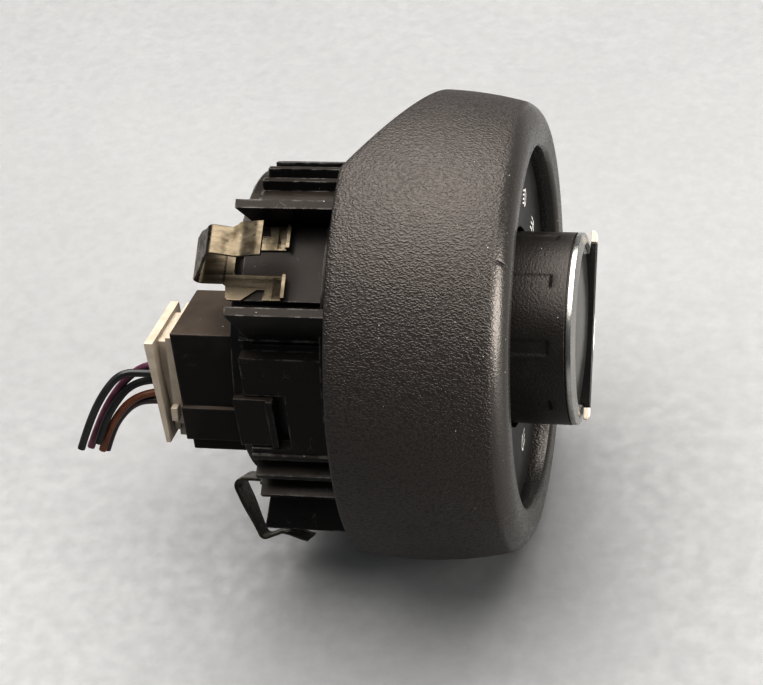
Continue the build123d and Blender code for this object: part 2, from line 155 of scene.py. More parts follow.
# Copy of a made part, its loose triangles merged and flat faces joined, its edges rounded by edge mm.
def softened(nodeName, finish, body, edge, segments=2, lean=30):
    mesh = cadNodes[nodeName].data.copy()
    shape = bmesh.new()
    shape.from_mesh(mesh)
    bmesh.ops.remove_doubles(shape, verts=shape.verts, dist=softenSet["merge"])
    bmesh.ops.dissolve_limit(shape, angle_limit=math.radians(softenSet["flat"]),
                             verts=shape.verts, edges=shape.edges)
    shape.to_mesh(mesh)
    shape.free()
    for name in [a.name for a in mesh.attributes if a.name == "custom_normal"]:
        mesh.attributes.remove(mesh.attributes[name])
    piece = dressPiece(nodeName + "_form", mesh, finish, body, [nodeName], lean)
    bevel = piece.modifiers.new("roundEdges", "BEVEL")
    bevel.width, bevel.segments = edge * mm, segments
    bevel.limit_method, bevel.angle_limit = "ANGLE", math.radians(lean)
    bevel.use_clamp_overlap = True
    bevel.harden_normals = False
    return piece


def newGroup(name, inputs, outputs):
    group = bpy.data.node_groups.new(name, "ShaderNodeTree")
    for label, kind, value in inputs:
        socket = group.interface.new_socket(label, in_out="INPUT", socket_type="NodeSocket" + kind)
        if value is not None:
            socket.default_value = value
    for label, kind in outputs:
        group.interface.new_socket(label, in_out="OUTPUT", socket_type="NodeSocket" + kind)
    return group, group.nodes.new("NodeGroupInput").outputs, group.nodes.new("NodeGroupOutput").inputs


# Adds a node; settings are its properties, links its inputs by name or number.
def node(tree, kind, links=None, **settings):
    made = tree.nodes.new("ShaderNode" + kind)
    for key, value in settings.items():
        setattr(made, key, value)
    for key, value in (links or {}).items():
        socket = made.inputs[key]
        if isinstance(value, bpy.types.NodeSocket):
            tree.links.new(value, socket)
        else:
            socket.default_value = value
    return made


def math2(tree, operation, a, b=0.0, clamp=False):
    return node(tree, "Math", {0: a, 1: b}, operation=operation, use_clamp=clamp).outputs[0]


def ramp(tree, value, low, high, toLow=0.0, toHigh=1.0):
    return node(tree, "MapRange", {"Value": value, "From Min": low, "From Max": high,
                                   "To Min": toLow, "To Max": toHigh},
                interpolation_type="SMOOTHSTEP").outputs["Result"]


def noise(tree, place, scale, detail=3.0, rough=0.5):
    return node(tree, "TexNoise", {"Vector": place, "Scale": scale, "Detail": detail,
                                   "Roughness": rough}).outputs["Fac"]


def blendColours(tree, factor, a, b):
    mix = node(tree, "Mix", {"Factor": factor}, data_type="RGBA")
    for socket, value in ((mix.inputs[6], a), (mix.inputs[7], b)):
        if isinstance(value, bpy.types.NodeSocket):
            tree.links.new(value, socket)
        else:
            socket.default_value = (*value, 1)
    return mix.outputs[2]


hideSet = {"slant": (0.0, 0.62, 0.0), "stretch": (0.72, 1.0, 1.12), "warpScale": 900.0,
           "warpBy": 0.0007, "blend": 0.35, "dome": (0.75, 0.1), "valley": (0.45, 0.8),
           "pimpleScale": 5200.0, "pimples": 0.35}


# Moulded leather: warped cells with soft valleys between them, and finer pimples on top.
def makeHideGrain(s):
    g, i, o = newGroup("hideGrain", [("Vector", "Vector", None), ("Cells per metre", "Float", 1500.0)],
                       [("Height", "Float"), ("Valley", "Float")])
    slant = node(g, "Mapping", {"Vector": i["Vector"], "Rotation": s["slant"], "Scale": s["stretch"]})
    warp = node(g, "TexNoise", {"Vector": i["Vector"], "Scale": s["warpScale"], "Detail": 2.0})
    shift = node(g, "VectorMath", {0: warp.outputs["Color"], 1: (0.5, 0.5, 0.5)}, operation="SUBTRACT")
    push = node(g, "VectorMath", {0: shift.outputs[0], "Scale": s["warpBy"]}, operation="SCALE")
    bent = node(g, "VectorMath", {0: slant.outputs[0], 1: push.outputs[0]}, operation="ADD")
    cell = node(g, "TexVoronoi", {"Vector": bent.outputs[0], "Scale": i["Cells per metre"],
                                  "Smoothness": s["blend"]}, feature="SMOOTH_F1").outputs["Distance"]
    fine = noise(g, i["Vector"], s["pimpleScale"], 2.0)
    pimples = math2(g, "MULTIPLY", fine, s["pimples"])
    g.links.new(math2(g, "ADD", ramp(g, cell, *s["dome"]), pimples), o["Height"])
    g.links.new(ramp(g, cell, *s["valley"]), o["Valley"])
    return g


dustSet = {"slowScale": 60.0, "largest": 0.17, "thin": 0.2, "thick": 1.8}


# Scattered pale specks of mixed sizes, thicker where a slow noise is high.
def makeDust(s):
    g, i, o = newGroup("dust", [("Vector", "Vector", None), ("Specks per metre", "Float", 900.0),
                                ("Share", "Float", 0.05)], [("Speck", "Float")])
    cell = node(g, "TexVoronoi", {"Vector": i["Vector"], "Scale": i["Specks per metre"]})
    pick = node(g, "SeparateColor", {"Color": cell.outputs["Color"]})
    slow = noise(g, i["Vector"], s["slowScale"])
    share = math2(g, "MULTIPLY", i["Share"], ramp(g, slow, 0.35, 0.7, s["thin"], s["thick"]))
    chosen = math2(g, "LESS_THAN", pick.outputs[0], share)
    near = math2(g, "LESS_THAN", cell.outputs["Distance"],
                 math2(g, "MULTIPLY", pick.outputs[1], s["largest"]))
    g.links.new(math2(g, "MULTIPLY", chosen, near), o["Speck"])
    return g


# each line set is (turn in radians, stretch, cells per metre)
scuffSet = {"lines": ((0.5, (0.18, 1.0, 1.0), 240.0), (-0.4, (1.0, 0.22, 0.3), 330.0)),
            "thin": 0.006, "gateScale": 260.0, "gate": (0.56, 0.66), "rubScale": 90.0, "rub": (0.5, 0.75)}


# Thin broken scratches along two directions: the narrow edges of stretched cells, cut by noise.
def makeScuffs(s):
    g, i, o = newGroup("scuffs", [("Vector", "Vector", None), ("Share", "Float", 0.5)],
                       [("Line", "Float"), ("Rub", "Float")])
    lines = []
    for turn, stretch, scale in s["lines"]:
        lay = node(g, "Mapping", {"Vector": i["Vector"], "Rotation": (turn, turn * 0.7, turn),
                                  "Scale": stretch})
        cell = node(g, "TexVoronoi", {"Vector": lay.outputs[0], "Scale": scale},
                    feature="DISTANCE_TO_EDGE").outputs["Distance"]
        lines.append(math2(g, "LESS_THAN", cell, s["thin"]))
    both = math2(g, "MAXIMUM", *lines)
    kept = ramp(g, noise(g, i["Vector"], s["gateScale"]), *s["gate"])
    g.links.new(math2(g, "MULTIPLY", math2(g, "MULTIPLY", both, kept), i["Share"]), o["Line"])
    g.links.new(ramp(g, noise(g, i["Vector"], s["rubScale"], 5.0, 0.65), *s["rub"]), o["Rub"])
    return g


wearSet = {"radius": 0.0006, "edge": (0.985, 0.8), "tornScale": 420.0, "torn": (0.42, 0.6)}


# Outer edges: where the normal of a rounded copy of the surface leaves the true one, in ragged patches.
def makeEdgeWear(s):
    g, i, o = newGroup("edgeWear", [("Vector", "Vector", None), ("Amount", "Float", 1.0)],
                       [("Mask", "Float")])
    rounded = node(g, "Bevel", {"Radius": s["radius"]}, samples=4).outputs[0]
    flat = node(g, "NewGeometry").outputs["Normal"]
    dot = node(g, "VectorMath", {0: rounded, 1: flat}, operation="DOT_PRODUCT").outputs["Value"]
    torn = noise(g, i["Vector"], s["tornScale"], 5.0, 0.7)
    patch = math2(g, "MULTIPLY", ramp(g, torn, *s["torn"]), i["Amount"])
    g.links.new(math2(g, "MULTIPLY", ramp(g, dot, *s["edge"]), patch, clamp=True), o["Mask"])
    return g


groups = {"grain": makeHideGrain(hideSet), "dust": makeDust(dustSet),
          "scuffs": makeScuffs(scuffSet), "wear": makeEdgeWear(wearSet)}


# Places a group in a material; values are its inputs, with _ for a space.
def useGroup(tree, key, vector, **values):
    made = tree.nodes.new("ShaderNodeGroup")
    made.node_tree = groups[key]
    tree.links.new(vector, made.inputs["Vector"])
    for label, value in values.items():
        made.inputs[label.replace("_", " ")].default_value = value
    return made.outputs


# Material with one Principled shader; constant sockets are set on the shader itself.
def newFinish(name, **sockets):
    made = bpy.data.materials.new(name)
    made.use_nodes = True
    tree = made.node_tree
    shader = tree.nodes["Principled BSDF"]
    for label, value in sockets.items():
        shader.inputs[label.replace("_", " ")].default_value = value
    place = tree.nodes.new("ShaderNodeTexCoord").outputs["Object"]
    return made, tree, shader, place


def feed(tree, shader, **links):
    for label, value in links.items():
        tree.links.new(value, shader.inputs[label.replace("_", " ")])


def bump(tree, height, distance, strength=1.0, after=None):
    links = {"Height": height, "Distance": distance, "Strength": strength}
    if after is not None:
        links["Normal"] = after
    return node(tree, "Bump", links).outputs[0]


print("shader groups made")


bezelLook = {"skin": (0.0205, 0.0176, 0.0160), "valley": (0.0090, 0.0077, 0.0070),
             # the nose colour is paler than the skin: a painted reflection along the smooth nose
             "nose": (0.030, 0.028, 0.026), "speck": (0.42, 0.40, 0.38), "specks": 0.03,
             "cells": 2700.0, "noseFrom": (27.9 * mm, 29.0 * mm), "rough": (0.37, 0.45),
             "valleyRough": 0.16, "noseRough": -0.16, "noseGrain": 0.16,
             "deep": 0.0001, "fine": 0.00002}


# Leather grain that fades where the nose begins, and a smoother nose whose paler colour is a painted
# reflection.
def bezelFinish(s):
    made, t, shader, place = newFinish("bezelGrain", Specular_IOR_Level=0.62, IOR=1.5,
                                       Specular_Tint=(1, 0.92, 0.86, 1))
    grain = useGroup(t, "grain", place, Cells_per_metre=s["cells"])
    dust = useGroup(t, "dust", place, Specks_per_metre=1500.0, Share=s["specks"])
    along = node(t, "SeparateXYZ", {"Vector": place}).outputs["X"]
    onSkin = ramp(t, along, *s["noseFrom"], 1.0, s["noseGrain"])
    cloudy = noise(t, place, 70.0, 4.0, 0.6)
    colour = blendColours(t, math2(t, "MULTIPLY", grain["Valley"], onSkin), s["skin"], s["valley"])
    # the nose is painted paler: a painted reflection
    colour = blendColours(t, ramp(t, along, *s["noseFrom"]), colour, s["nose"])
    colour = blendColours(t, dust["Speck"], colour, s["speck"])
    rough = math2(t, "ADD", ramp(t, cloudy, 0.3, 0.7, *s["rough"]),
                  math2(t, "MULTIPLY", grain["Valley"], s["valleyRough"]))
    rough = math2(t, "ADD", rough, ramp(t, along, *s["noseFrom"], 0.0, s["noseRough"]))
    deep = bump(t, math2(t, "MULTIPLY", grain["Height"], onSkin), s["deep"], 0.85)
    fine = bump(t, noise(t, place, 3800.0, 2.0), s["fine"], 0.5, deep)
    feed(t, shader, Base_Color=colour, Roughness=rough, Normal=fine)
    return made


# each finish gives the share of a brown tint on faces that look up, part dust film and part painted top light
plasticLook = {
    "housingBlack": {"base": (0.0085, 0.0078, 0.0076), "gloss": 0.20, "rough": (0.24, 0.40),
                     "dustFilmAndTopLight": 0.20, "wear": 0.85, "scuff": 0.40, "dust": 0.035, "fine": 1700.0,
                     "depth": 0.00002},
    "plateBlack": {"base": (0.020, 0.0195, 0.0195), "gloss": 0.30, "rough": (0.36, 0.46), "dustFilmAndTopLight": 0.0,
                   "wear": 0.0, "scuff": 0.15, "dust": 0.05, "fine": 4200.0, "depth": 0.00004},
    "shroudBlack": {"base": (0.0110, 0.0094, 0.0086), "gloss": 0.16, "rough": (0.34, 0.48),
                    "dustFilmAndTopLight": 0.58, "wear": 0.35, "scuff": 0.14, "dust": 0.05, "fine": 2600.0,
                    "depth": 0.00003},
    "knobBlack": {"base": (0.0150, 0.0132, 0.0115), "gloss": 0.55, "rough": (0.34, 0.42), "dustFilmAndTopLight": 0.0,
                  "wear": 0.0, "scuff": 0.12, "dust": 0.05, "fine": 2500.0, "depth": 0.00011},
    "barBlack": {"base": (0.010, 0.010, 0.010), "gloss": 0.40, "rough": (0.16, 0.26), "dustFilmAndTopLight": 0.0,
                 "wear": 0.0, "scuff": 0.1, "dust": 0.01, "fine": 2600.0, "depth": 0.00001},
}


# the brown tint for faces that look up is part dust film, part painted top light
wornTints = {"rubbed": (0.20, 0.19, 0.18), "speck": (0.45, 0.43, 0.41), "dustFilmAndTopLight": (0.105, 0.082, 0.064),
             "softSpeck": (0.40, 0.38, 0.36)}


# Moulded black plastic: cloudy gloss, fine texture, scratches, pale rubbed edges, dust, and a brown tint on
# upward faces that is part dust film, part painted top light.
def plasticFinish(name, s):
    made, t, shader, place = newFinish(name, Specular_IOR_Level=s["gloss"], IOR=1.49,
                                       Specular_Tint=(1, 0.93, 0.88, 1))
    dust = useGroup(t, "dust", place, Specks_per_metre=1200.0, Share=s["dust"])
    scuffs = useGroup(t, "scuffs", place, Share=s["scuff"])
    cloudy = noise(t, place, 120.0, 5.0, 0.6)
    pale = math2(t, "MULTIPLY", scuffs["Line"], 0.8)
    colour = blendColours(t, math2(t, "MULTIPLY", scuffs["Rub"], 0.5), s["base"],
                          tuple(c * 2.2 + 0.004 for c in s["base"]))
    colour = blendColours(t, pale, colour, wornTints["rubbed"])
    if s["dustFilmAndTopLight"]:    # a brown tint on faces that look up: part dust film, part painted top light
        normal = node(t, "NewGeometry").outputs["Normal"]
        facing = node(t, "SeparateXYZ", {"Vector": normal}).outputs["Z"]
        dustFilmAndTopLight = math2(t, "MULTIPLY", ramp(t, facing, 0.62, 0.99), ramp(t, cloudy, 0.15, 0.75, 0.55, 1.0))
        # painted top light mixed with dust: faces that look up are tinted paler brown
        colour = blendColours(t, math2(t, "MULTIPLY", dustFilmAndTopLight, s["dustFilmAndTopLight"]), colour, wornTints["dustFilmAndTopLight"])
    if s["wear"]:
        wear = useGroup(t, "wear", place, Amount=s["wear"])["Mask"]
        colour = blendColours(t, wear, colour, wornTints["rubbed"])
    colour = blendColours(t, dust["Speck"], colour, wornTints["speck"])
    rough = math2(t, "ADD", ramp(t, cloudy, 0.3, 0.7, *s["rough"]), math2(t, "MULTIPLY", pale, 0.3))
    height = noise(t, place, s["fine"], 3.0, 0.55)
    first = bump(t, height, s["depth"], 0.8)
    second = bump(t, math2(t, "MULTIPLY", pale, -1.0), 0.00003, 0.6, first)
    feed(t, shader, Base_Color=colour, Roughness=rough, Normal=second)
    return made


metalLook = {
    "springSteel": {"base": (0.118, 0.100, 0.075), "dark": (0.046, 0.038, 0.024), "rough": (0.24, 0.42),
                    "brush": (60.0, 1400.0, 1400.0), "depth": 0.00002},
    "satinChrome": {"base": (0.50, 0.49, 0.47), "dark": (0.42, 0.41, 0.39), "rough": (0.22, 0.30),
                    "brush": (1500.0, 120.0, 120.0), "depth": 0.000008},
    "zincSteel": {"base": (0.40, 0.40, 0.38), "dark": (0.27, 0.27, 0.25), "rough": (0.28, 0.42),
                  "brush": (900.0, 900.0, 900.0), "depth": 0.00001},
    "tinnedBrass": {"base": (0.66, 0.62, 0.52), "dark": (0.50, 0.43, 0.30), "rough": (0.22, 0.36),
                    "brush": (200.0, 1500.0, 1500.0), "depth": 0.00001},
}


# Sheet or plated metal: brushed streaks, stained patches and a roughness that follows them.
def metalFinish(name, s):
    made, t, shader, place = newFinish(name, Metallic=1.0)
    streaked = node(t, "Mapping", {"Vector": place, "Scale": s["brush"]}).outputs[0]
    streak = noise(t, streaked, 1.0)
    stain = noise(t, place, 330.0, 5.0, 0.65)
    slow = noise(t, place, 110.0, 2.0)
    mask = math2(t, "MULTIPLY", ramp(t, stain, 0.42, 0.68), ramp(t, slow, 0.35, 0.6))
    colour = blendColours(t, mask, s["base"], s["dark"])
    rough = math2(t, "ADD", ramp(t, streak, 0.3, 0.7, *s["rough"]), math2(t, "MULTIPLY", mask, 0.12))
    feed(t, shader, Base_Color=colour, Roughness=rough, Normal=bump(t, streak, s["depth"], 0.7))
    return made


smoothLook = {
    "dialGloss": {"base": (0.050, 0.047, 0.043), "tone": (0.056, 0.053, 0.049), "rough": (0.20, 0.25),
                  "depth": 0.000004, "scale": 700.0},
    "pearlTip": {"base": (0.42, 0.37, 0.30), "tone": (0.56, 0.51, 0.44), "rough": (0.22, 0.34),
                 "depth": 0.00001, "scale": 900.0},
    "plugCream": {"base": (0.315, 0.272, 0.220), "tone": (0.365, 0.320, 0.265), "rough": (0.42, 0.54),
                  "depth": 0.00002, "scale": 1300.0},
    "naturalNylon": {"base": (0.68, 0.66, 0.57), "tone": (0.76, 0.74, 0.66), "rough": (0.34, 0.46),
                     "depth": 0.00001, "scale": 800.0},
    "boardGreen": {"base": (0.012, 0.085, 0.035), "tone": (0.020, 0.12, 0.05), "rough": (0.28, 0.40),
                   "depth": 0.00001, "scale": 600.0},
    "ledWhite": {"base": (0.80, 0.77, 0.62), "tone": (0.86, 0.84, 0.74), "rough": (0.20, 0.30),
                 "depth": 0.00001, "scale": 900.0},
    "markWhite": {"base": (0.62, 0.61, 0.58), "tone": (0.74, 0.73, 0.70), "rough": (0.45, 0.60),
                  "depth": 0.00001, "scale": 2600.0},
    "wireBlack": {"base": (0.012, 0.012, 0.013), "tone": (0.022, 0.021, 0.021), "rough": (0.26, 0.38),
                  "depth": 0.00001, "scale": 900.0},
    "wireMauve": {"base": (0.075, 0.022, 0.042), "tone": (0.115, 0.042, 0.065), "rough": (0.28, 0.40),
                  "depth": 0.00001, "scale": 900.0},
    "wireBrown": {"base": (0.105, 0.034, 0.014), "tone": (0.165, 0.062, 0.026), "rough": (0.28, 0.40),
                  "depth": 0.00001, "scale": 900.0},
    "wireDark": {"base": (0.030, 0.018, 0.018), "tone": (0.048, 0.030, 0.028), "rough": (0.28, 0.40),
                 "depth": 0.00001, "scale": 900.0},
}


# Smooth moulding or insulation: two close tones in clouds, soft gloss, a little dust.
def smoothFinish(name, s):
    made, t, shader, place = newFinish(name, Specular_IOR_Level=0.5, IOR=1.5)
    cloudy = noise(t, place, s["scale"] * 0.3, 4.0, 0.6)
    fine = noise(t, place, s["scale"] * 3, 2.0)
    dust = useGroup(t, "dust", place, Specks_per_metre=1400.0, Share=0.03)
    colour = blendColours(t, ramp(t, cloudy, 0.35, 0.65), s["base"], s["tone"])
    colour = blendColours(t, dust["Speck"], colour, wornTints["softSpeck"])
    feed(t, shader, Base_Color=colour, Roughness=ramp(t, cloudy, 0.3, 0.7, *s["rough"]),
         Normal=bump(t, fine, s["depth"], 0.8))
    return made


# Clear acrylic whose polish varies a little.
def clearFinish():
    made, t, shader, place = newFinish("clearAcrylic", Transmission_Weight=1.0, IOR=1.49)
    feed(t, shader, Roughness=ramp(t, noise(t, place, 500.0), 0.3, 0.7, 0.02, 0.10))
    return made


finish = {"bezelGrain": bezelFinish(bezelLook), "clearAcrylic": clearFinish()}
for look, maker in ((plasticLook, plasticFinish), (metalLook, metalFinish), (smoothLook, smoothFinish)):
    for name, settings in look.items():
        finish[name] = maker(name, settings)
print("finishes made", len(finish))


# each route is (along the axis, towards the near side, up) in the connector's frame, turned by roll
wireSet = {
    "roll": 15.0, "radius": 0.72,
    "wire_black_outer": {"length": 0.0363, "look": "wireBlack", "slot": "wire_black", "route": [
        (-25, 20, -1.45), (-31.8, 20, -1.45), (-38.8, 20.6, -1.3), (-43.4, 21.4, -0.9),
        (-47.0, 22.4, -4.8), (-50.2, 23.1, -10.6), (-52.4, 23.5, -16.2)]},
    "wire_mauve": {"length": 0.0360, "look": "wireMauve", "slot": "wire_mauve", "route": [
        (-25, 20, 0.55), (-31.6, 19.9, 0.55), (-38.3, 19.15, -0.1), (-42.4, 18.9, -2.4),
        (-46.6, 19.4, -7.2), (-49.6, 20.0, -12.6), (-51.7, 20.4, -17.6)]},
    "wire_black_inner": {"length": 0.0313, "look": "wireBlack", "slot": "wire_black", "route": [
        (-25, 20, -3.45), (-31.3, 20, -3.45), (-37.7, 19.3, -3.0), (-42.8, 19.6, -4.5),
        (-46.2, 20.8, -8.6), (-48.1, 21.5, -12.1), (-49.5, 21.9, -15.8)]},
    "wire_brown": {"length": 0.0309, "look": "wireBrown", "slot": "wire_brown", "route": [
        (-25, 20, -5.45), (-31.3, 20, -5.45), (-37.7, 20, -5.3), (-42.6, 20.1, -7.2),
        (-46.0, 20.2, -11.1), (-48.2, 20.3, -14.9), (-49.5, 20.3, -18.2)]},
    "wire_dark": {"length": 0.0306, "look": "wireDark", "slot": "wire_dark", "route": [
        (-25, 20, -7.45), (-31.3, 20, -7.45), (-37.7, 19.9, -7.1), (-42.2, 18.9, -8.3),
        (-45.9, 18.4, -12.0), (-48.1, 18.3, -15.8), (-49.4, 18.3, -19.2)]},
}


# Points of the connector's frame in the row frame: along the axis, near side out, up across it.
def connectorPoint(route, roll):
    route = np.asarray(route, float)
    return route[:, :1] * [1, 0, 0] + route[:, 1:2] * outward(roll) + route[:, 2:] * outward(roll + 90)


# Cord along a smooth curve of order three that is led by the route's points.
def layWire(name, s):
    made = s[name]
    points = connectorPoint(made["route"], s["roll"]) * mm
    data = bpy.data.curves.new(name + "_lead", "CURVE")
    data.dimensions = "3D"
    spline = data.splines.new("NURBS")
    spline.points.add(len(points) - 1)
    spline.points.foreach_set("co", np.column_stack([points, np.ones(len(points))]).ravel())
    spline.order_u = 3
    spline.use_endpoint_u = True
    spline.resolution_u = 16
    data.bevel_depth, data.bevel_resolution, data.use_fill_caps = s["radius"] * mm, 6, True
    data.materials.append(finish[made["look"]])
    lead = bpy.data.objects.new(name + "_lead", data)
    scene.collection.objects.link(lead)
    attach(lead, "plug")
    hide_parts(name)


for name in wireSet:
    if name.startswith("wire"):
        layWire(name, wireSet)
print("wires laid")


# pairs are (along the axis, away from it); a nick is (along, angle, depth, long, wide)
bezelSet = {"rear": 42.8, "belly": (12.5, 43.7), "skinEnd": (27.5, 41.7), "nose": (30.0, 40.1),
            "noseEnd": (31.0, 37.3), "brow": (30.8, 34.7), "lipMiddle": (30.5, 33.75),
            "lipEnd": (29.9, 33.4), "plateFront": 27.2, "seat": 34.6, "sleeve": 36.6, "cavity": 40.6,
            "tubeRear": 5, "tubeFront": 26, "ceiling": (28.0, 2.2), "corner": (24.5, -1.2), "round": 0.5,
            "cutSlope": 0.79, "cutStart": 27.0, "cutAngle": 131.5, "columns": 640,
            "nicks": ((29.6, 57.0, 0.55, 0.9, 0.2), (29.4, -13.2, 0.35, 1.2, 0.22),
                      (30.2, -15.8, 0.3, 0.8, 0.2)),
            "nickLean": 0.35, "nickReach": 1.2, "nickFloor": 36.9, "nickRadius": 41}


# Parabola through the rear edge, the belly and the place where the nose begins.
def bezelSkinRadius(x, s):
    (xb, rb), (xe, re) = s["belly"], s["skinEnd"]
    p = np.polyfit([0, xb, xe], [s["rear"], rb, re], 2)
    return np.polyval(p, x)


# The rear edge: zero, or where the sloping cut meets a surface of that radius.
def cutLimit(radius, angles, s):
    return np.maximum(0, s["cutSlope"] * (radius * np.cos(np.radians(angles - s["cutAngle"]))
                                          - s["cutStart"]))


# Section (along, away) of skin, nose, lip, seat, sleeve and cavity, its rear end moved by the cut, and
# carried round the axis; each nick is a small bell-shaped dent.
def buildBezel(s):
    even = np.linspace(0, 360, s["columns"], endpoint=False)
    finer = [nick[1] + np.linspace(-s["nickReach"], s["nickReach"], 25) for nick in s["nicks"]]
    angles = np.unique(np.round(np.concatenate([even, *finer]) % 360, 3))
    rearOut = np.zeros_like(angles)
    for _ in range(4):
        rearOut = cutLimit(bezelSkinRadius(rearOut, s), angles, s)
    rearIn = cutLimit(s["cavity"], angles, s)
    t = np.linspace(0, 1, 26)[:, None]
    skinX = rearOut + s["round"] + (s["skinEnd"][0] - rearOut - s["round"]) * t
    skin = np.stack([skinX, bezelSkinRadius(skinX, s)], -1)
    a = np.radians(np.linspace(0, 75, 4))[:, None]
    edge = np.stack([rearOut + s["round"] * (1 - np.sin(a)),
                     bezelSkinRadius(rearOut, s) - s["round"] * (1 - np.cos(a))], -1)[::-1]
    front = [arcThrough(s["skinEnd"], s["nose"], s["noseEnd"], 14)[1:],
             np.linspace(s["noseEnd"], s["brow"], 5)[1:],
             arcThrough(s["brow"], s["lipMiddle"], s["lipEnd"], 6)[1:],
             [(s["plateFront"], s["lipEnd"][1]), (s["plateFront"], s["seat"]),
              (s["tubeRear"], s["seat"]), (s["tubeRear"], s["sleeve"]), (s["tubeFront"], s["sleeve"]),
              (s["ceiling"][0], s["sleeve"] + s["ceiling"][1]),
              (s["corner"][0], s["cavity"] + s["corner"][1])]]
    front = np.repeat(np.concatenate(front)[:, None], len(angles), 1)
    inner = np.stack([np.stack([rearIn + d, np.full_like(angles, s["cavity"] + e)], -1)
                      for d, e in ((4.0, 0), (0.4, 0), (0.0, 0.4))])
    section = np.concatenate([edge[:-1], skin, front, inner])
    for x, angle, depth, long, wide in s["nicks"]:
        turn = (angles - angle + 180) % 360 - 180
        off = section[..., 0] - x
        across = np.radians(turn) * s["nickRadius"] + s["nickLean"] * off
        bell = np.exp(-(off / long) ** 2 - (across / wide) ** 2)
        section[..., 1] -= depth * bell * (section[..., 1] > s["nickFloor"])
    return addPiece("bezelRing", lathe(section, angles).reshape(-1, 3),
                    gridFaces(len(section), len(angles), True, True), finish["bezelGrain"], "root",
                    ["bezel_ring"], 40)


buildBezel(bezelSet)
print("bezel built")


knobSet = {"radius": 17.75, "front": 38.1, "rear": 16.0, "wall": 1.85, "shoulder": 17.35,
           "bore": 4.0, "skinThick": 2, "lead": 0.3, "gap": (0.25, 0.05),
           "grooves": 9, "firstGroove": 30.2, "grooveWide": 2.6, "grooveDeep": 0.24,
           "grooveFront": 35.0, "grooveRear": 20.0, "grooveSide": 0.9, "grooveFade": 0.6,
           "columns": 720}


# Cylinder whose radius drops by a smooth trough at each groove; the trough fades at its ends.
def buildKnob(s):
    angles = np.linspace(0, 360, s["columns"], endpoint=False)
    step = 360 / s["grooves"]
    turn = (angles - s["firstGroove"] + step / 2) % step - step / 2
    across = np.radians(np.abs(turn)) * s["radius"]
    trough = np.clip((s["grooveWide"] / 2 - across) / s["grooveSide"] + 0.5, 0, 1)
    trough = trough * trough * (3 - 2 * trough)
    x = np.concatenate([[s["rear"], s["rear"] + s["lead"]], np.linspace(19.4, 20.6, 5),
                        np.linspace(22, 33.5, 8), np.linspace(34.2, 35.4, 7),
                        [36.5, s["front"] - 0.6, s["front"] - 0.3]])
    rise = np.clip((x - s["grooveRear"]) / s["grooveFade"] + 0.5, 0, 1) \
        * np.clip((s["grooveFront"] - x) / s["grooveFade"] + 0.5, 0, 1)
    outer = s["radius"] - s["grooveDeep"] * rise[:, None] * trough[None]
    outer[0] -= s["lead"]
    skin = np.stack([np.repeat(x[:, None], len(angles), 1), outer], -1)
    rim, inside = s["front"] - s["gap"][0], s["radius"] - s["wall"]
    rest = [(rim, s["radius"] - s["gap"][1]), (rim, s["shoulder"]), (s["front"], s["shoulder"]),
            (s["front"], s["bore"]), (s["front"] - s["skinThick"], s["bore"]),
            (s["front"] - s["skinThick"], inside), (s["rear"], inside)]
    rest = np.repeat(np.array(rest)[:, None], len(angles), 1)
    section = np.concatenate([skin, rest])
    return addPiece("knobShell", lathe(section, angles).reshape(-1, 3),
                    gridFaces(len(section), len(angles), True, True), finish["knobBlack"], "knob",
                    ["knob_shell"], 30)


buildKnob(knobSet)


# each wave is (height, waves in a turn, start in degrees)
ringSet = {"front": 38.1, "radius": 17.75, "inner": 15.8, "band": 1.0, "high": 1.6, "soft": 0.12,
           "waves": ((0.010, 7, 0), (0.006, 17, 40)), "columns": 360}


# Bright ring: straight band, then a chamfer to the inner edge, each corner softened. The band's front
# edge wanders by two small sine waves round the axis.
def buildRing(s):
    f, r, i, k = s["front"], s["radius"], s["inner"], s["soft"]
    angles = np.linspace(0, 360, s["columns"], endpoint=False)
    wave = sum(tall * np.sin(np.radians(angles * count + start)) for tall, count, start in s["waves"])
    section = np.array([(f, i), (f, r - k), (f + 0.04, r - 0.03), (f + k, r), (f + s["band"] - k, r),
                        (f + s["band"] - 0.03, r - 0.03), (f + s["band"] + 0.04, r - 0.15),
                        (f + s["high"] - 0.06, i + 0.45), (f + s["high"], i + 0.3),
                        (f + s["high"], i + 0.08), (f + s["high"] - 0.08, i)])
    grid = np.repeat(section[:, None], len(angles), 1)
    grid[4:7, :, 0] += wave
    return addPiece("brightRing", lathe(grid, angles).reshape(-1, 3),
                    gridFaces(len(section), len(angles), True, True), finish["satinChrome"], "knob",
                    ["knob_ring"], 28)


buildRing(ringSet)

dialSet = {"front": 38.1, "radius": 15.7, "edge": 0.9, "crown": 1.2, "columns": 256}


# Low dome: its height falls with the square of the distance from the middle, on a flat back.
def buildDial(s):
    angles = np.linspace(0, 360, s["columns"], endpoint=False)
    share = np.linspace(0, 1, 25)[1:]
    dome = np.stack([s["front"] + s["edge"] + s["crown"] * (1 - share ** 2), s["radius"] * share], -1)
    dome[-1] = (s["front"] + s["edge"] - 0.1, s["radius"])
    section = np.concatenate([dome, [(s["front"], s["radius"])]])
    points = lathe(section, angles).reshape(-1, 3)
    rows, cols = len(section), len(angles)
    poles = np.array([(s["front"] + s["edge"] + s["crown"], 0, 0), (s["front"], 0, 0)])
    j = np.arange(cols)
    topFan = np.stack([np.full(cols, rows * cols), (j + 1) % cols, j], -1)
    backFan = np.stack([np.full(cols, rows * cols + 1), (rows - 1) * cols + j,
                        (rows - 1) * cols + (j + 1) % cols], -1)
    faces = [*gridFaces(rows, cols, False, True), *topFan, *backFan]
    return addPiece("dialFace", np.concatenate([points, poles]), faces, finish["dialGloss"], "knob",
                    ["knob_face"], 40)


buildDial(dialSet)
softened("grip_bar", finish["barBlack"], "knob", 0.28, 3)
softened("grip_tips", finish["pearlTip"], "knob", 0.22, 3)
print("knob built")


